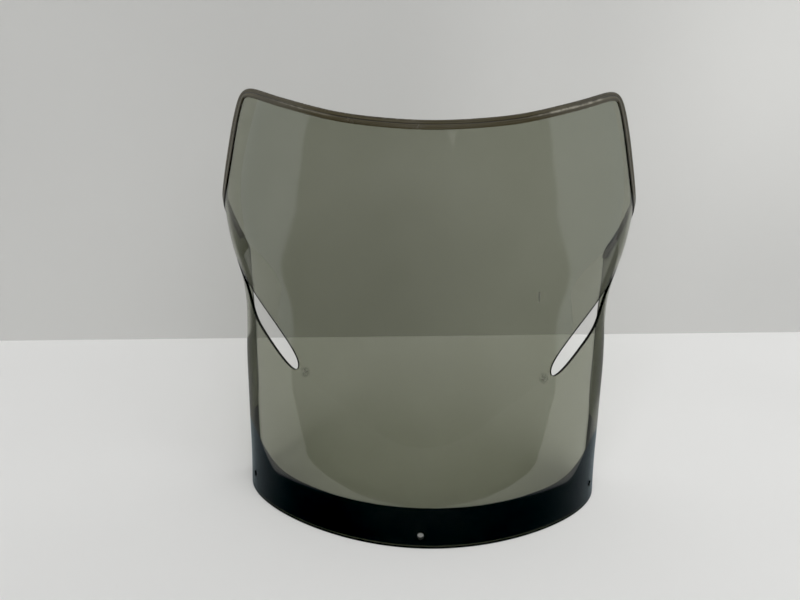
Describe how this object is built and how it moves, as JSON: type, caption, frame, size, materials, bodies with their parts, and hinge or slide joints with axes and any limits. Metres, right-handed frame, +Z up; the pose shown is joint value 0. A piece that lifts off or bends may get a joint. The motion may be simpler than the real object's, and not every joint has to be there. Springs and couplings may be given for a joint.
{
  "type": "motorcycle windshield screen",
  "caption": "Smoked U-shaped motorcycle windshield screen with flared wings, slanted side vents, an opaque lower band and a push-on edge trim.",
  "frame": {"origin": "middle of the sheet's thickness at the front centre of its flat bottom edge", "axes": "+Z up, +Y towards the rider, +X to the right in a front view; the front of the screen faces -Y"},
  "size_m": [0.4358, 0.1929, 0.404],
  "materials": {
    "smoked_sheet": "polished see-through smoked sheet, grey-olive tint",
    "black_band": "opaque black layer seen through the polished sheet",
    "trim": "dark brown-black glossy extruded trim"
  },
  "bodies": {
    "root": {"screen_panel": "smoked_sheet", "lower_band": "black_band", "edge_trim": "trim"}
  },
  "joints": []
}
